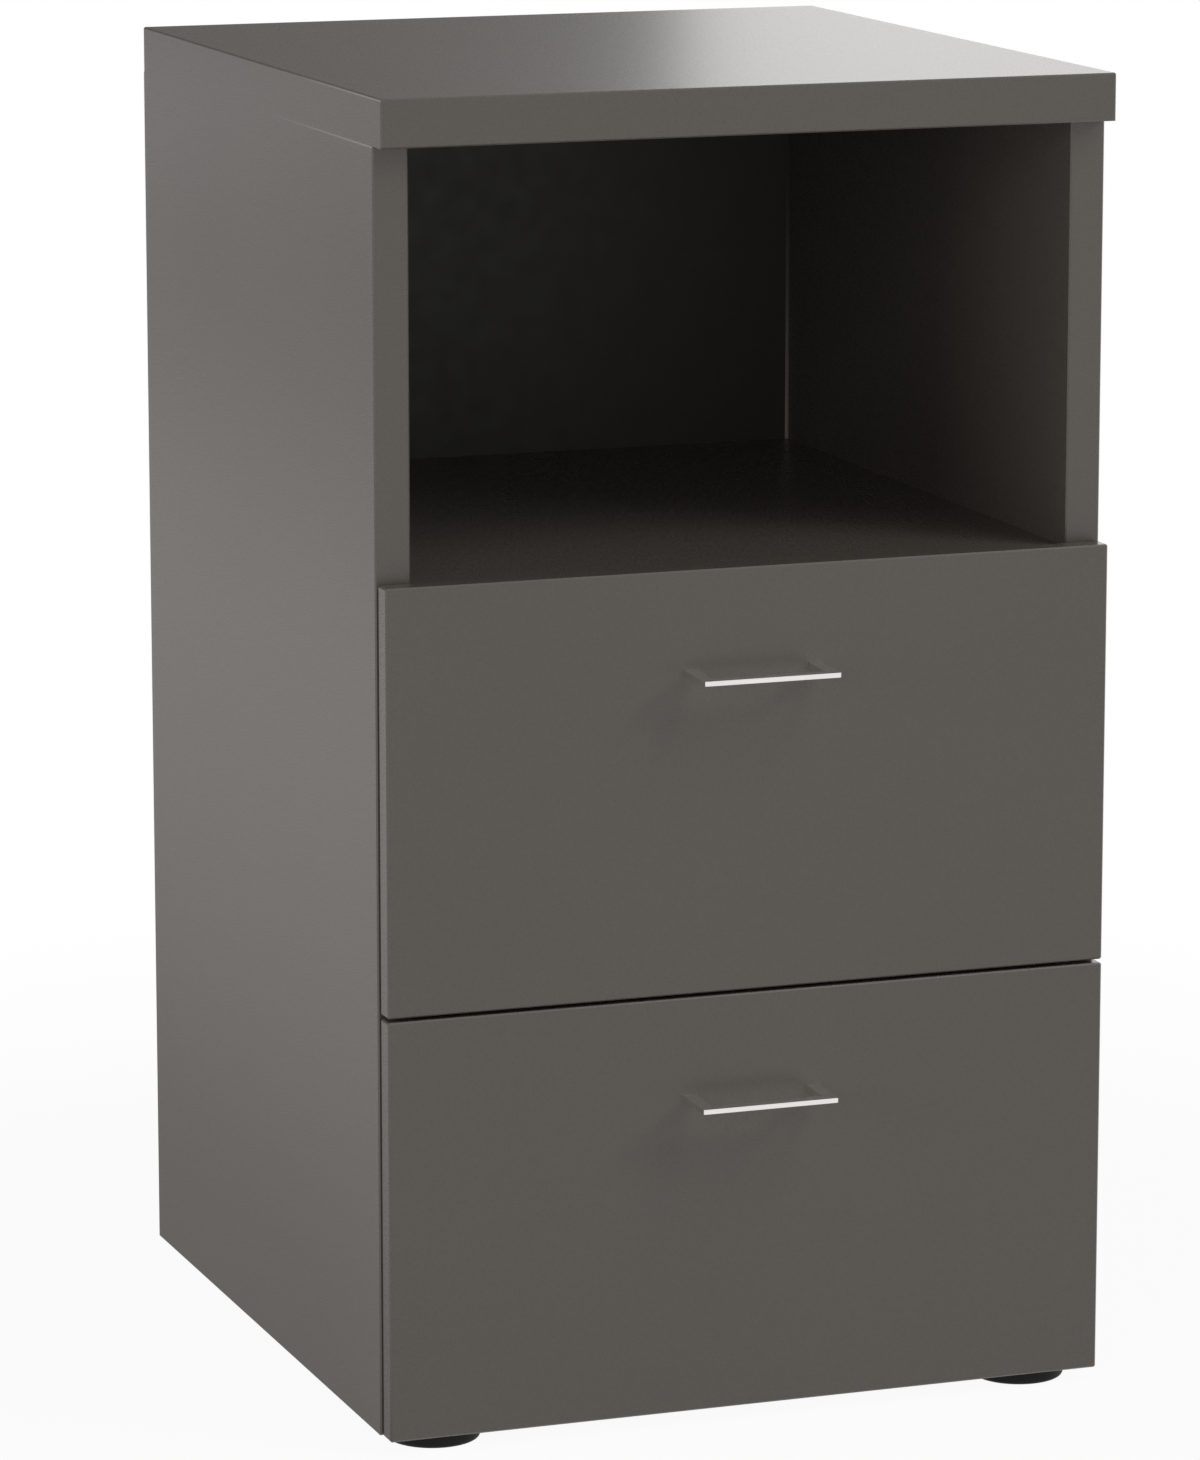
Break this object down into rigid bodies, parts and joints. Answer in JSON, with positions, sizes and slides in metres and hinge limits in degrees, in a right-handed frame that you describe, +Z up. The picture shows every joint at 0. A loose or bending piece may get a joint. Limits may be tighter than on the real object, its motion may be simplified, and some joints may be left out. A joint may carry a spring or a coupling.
{
  "type": "nightstand with drawers",
  "caption": "Box-shaped nightstand in dark taupe grey board with an open compartment over drawers on roller runners, slim bow handles and low round feet.",
  "frame": {"origin": "on the floor, at the middle of the width and of the whole depth with the handles", "axes": "+X to the right seen from the front, +Y from the drawer fronts to the back, +Z up"},
  "size_m": [0.4, 0.453, 0.703],
  "materials": {
    "taupe_board": "matt dark taupe grey melamine facing on chipboard",
    "back_hardboard": "matt dark grey lacquered hardboard",
    "drawer_box_board": "pale grey foil on chipboard",
    "drawer_bottom_board": "pale grey lacquered hardboard",
    "satin_nickel": "satin nickel",
    "zinc_plated_steel": "bright zinc plate",
    "beech": "bare beech",
    "black_plastic": "satin black moulded plastic",
    "white_enamel_steel": "white baked enamel",
    "white_nylon": "natural white nylon",
    "clear_bumper": "translucent soft bumper"
  },
  "bodies": {
    "cabinet": {"top_panel": "taupe_board", "left_side_panel": "taupe_board", "right_side_panel": "taupe_board", "bottom_panel": "taupe_board", "shelf_panel": "taupe_board", "back_panel": "back_hardboard", "feet": "black_plastic", "carcass_dowels": "beech", "upper_left_cabinet_rail": "white_enamel_steel", "upper_right_cabinet_rail": "white_enamel_steel", "lower_left_cabinet_rail": "white_enamel_steel", "lower_right_cabinet_rail": "white_enamel_steel", "cabinet_rail_screws": "zinc_plated_steel", "front_roller_pins": "zinc_plated_steel"},
    "upper_drawer": {"upper_drawer_front": "taupe_board", "upper_drawer_left_side": "drawer_box_board", "upper_drawer_right_side": "drawer_box_board", "upper_drawer_back": "drawer_box_board", "upper_drawer_bottom": "drawer_bottom_board", "upper_drawer_handle": "satin_nickel", "upper_drawer_handle_screws": "zinc_plated_steel", "upper_drawer_left_rail": "white_enamel_steel", "upper_drawer_right_rail": "white_enamel_steel", "upper_drawer_rail_screws": "zinc_plated_steel", "upper_drawer_dowels": "beech", "upper_drawer_roller_pins": "zinc_plated_steel", "upper_drawer_bumpers": "clear_bumper"},
    "lower_drawer": {"lower_drawer_front": "taupe_board", "lower_drawer_left_side": "drawer_box_board", "lower_drawer_right_side": "drawer_box_board", "lower_drawer_back": "drawer_box_board", "lower_drawer_bottom": "drawer_bottom_board", "lower_drawer_handle": "satin_nickel", "lower_drawer_handle_screws": "zinc_plated_steel", "lower_drawer_left_rail": "white_enamel_steel", "lower_drawer_right_rail": "white_enamel_steel", "lower_drawer_rail_screws": "zinc_plated_steel", "lower_drawer_dowels": "beech", "lower_drawer_roller_pins": "zinc_plated_steel", "lower_drawer_bumpers": "clear_bumper"},
    "upper_left_front_roller": {"upper_left_front_roller": "white_nylon"},
    "upper_left_rear_roller": {"upper_left_rear_roller": "white_nylon"},
    "upper_right_front_roller": {"upper_right_front_roller": "white_nylon"},
    "upper_right_rear_roller": {"upper_right_rear_roller": "white_nylon"},
    "lower_left_front_roller": {"lower_left_front_roller": "white_nylon"},
    "lower_left_rear_roller": {"lower_left_rear_roller": "white_nylon"},
    "lower_right_front_roller": {"lower_right_front_roller": "white_nylon"},
    "lower_right_rear_roller": {"lower_right_rear_roller": "white_nylon"}
  },
  "joints": [
    {"name": "upper_drawer_slide", "type": "slide", "parent": "cabinet", "child": "upper_drawer", "axis": [0, -1, 0], "range_m": [0, 0.26]},
    {"name": "lower_drawer_slide", "type": "slide", "parent": "cabinet", "child": "lower_drawer", "axis": [0, -1, 0], "range_m": [0, 0.26]},
    {"name": "upper_left_front_roller_spin", "type": "hinge", "parent": "cabinet", "child": "upper_left_front_roller", "pos_m": [-0.1748, -0.1695, 0.2638], "axis": [1, 0, 0], "continuous": true},
    {"name": "upper_left_rear_roller_spin", "type": "hinge", "parent": "upper_drawer", "child": "upper_left_rear_roller", "pos_m": [-0.1747, 0.1525, 0.2638], "axis": [1, 0, 0], "continuous": true},
    {"name": "upper_right_front_roller_spin", "type": "hinge", "parent": "cabinet", "child": "upper_right_front_roller", "pos_m": [0.1748, -0.1695, 0.2638], "axis": [1, 0, 0], "continuous": true},
    {"name": "upper_right_rear_roller_spin", "type": "hinge", "parent": "upper_drawer", "child": "upper_right_rear_roller", "pos_m": [0.1747, 0.1525, 0.2638], "axis": [1, 0, 0], "continuous": true},
    {"name": "lower_left_front_roller_spin", "type": "hinge", "parent": "cabinet", "child": "lower_left_front_roller", "pos_m": [-0.1748, -0.1695, 0.0388], "axis": [1, 0, 0], "continuous": true},
    {"name": "lower_left_rear_roller_spin", "type": "hinge", "parent": "lower_drawer", "child": "lower_left_rear_roller", "pos_m": [-0.1747, 0.1525, 0.0388], "axis": [1, 0, 0], "continuous": true},
    {"name": "lower_right_front_roller_spin", "type": "hinge", "parent": "cabinet", "child": "lower_right_front_roller", "pos_m": [0.1748, -0.1695, 0.0388], "axis": [1, 0, 0], "continuous": true},
    {"name": "lower_right_rear_roller_spin", "type": "hinge", "parent": "lower_drawer", "child": "lower_right_rear_roller", "pos_m": [0.1747, 0.1525, 0.0388], "axis": [1, 0, 0], "continuous": true}
  ],
  "couplings": [
    {"joint": "upper_left_front_roller_spin", "follows": "upper_drawer_slide", "rad_per_m": 133.33},
    {"joint": "upper_left_rear_roller_spin", "follows": "upper_drawer_slide", "rad_per_m": 133.33},
    {"joint": "upper_right_front_roller_spin", "follows": "upper_drawer_slide", "rad_per_m": 133.33},
    {"joint": "upper_right_rear_roller_spin", "follows": "upper_drawer_slide", "rad_per_m": 133.33},
    {"joint": "lower_left_front_roller_spin", "follows": "lower_drawer_slide", "rad_per_m": 133.33},
    {"joint": "lower_left_rear_roller_spin", "follows": "lower_drawer_slide", "rad_per_m": 133.33},
    {"joint": "lower_right_front_roller_spin", "follows": "lower_drawer_slide", "rad_per_m": 133.33},
    {"joint": "lower_right_rear_roller_spin", "follows": "lower_drawer_slide", "rad_per_m": 133.33}
  ]
}
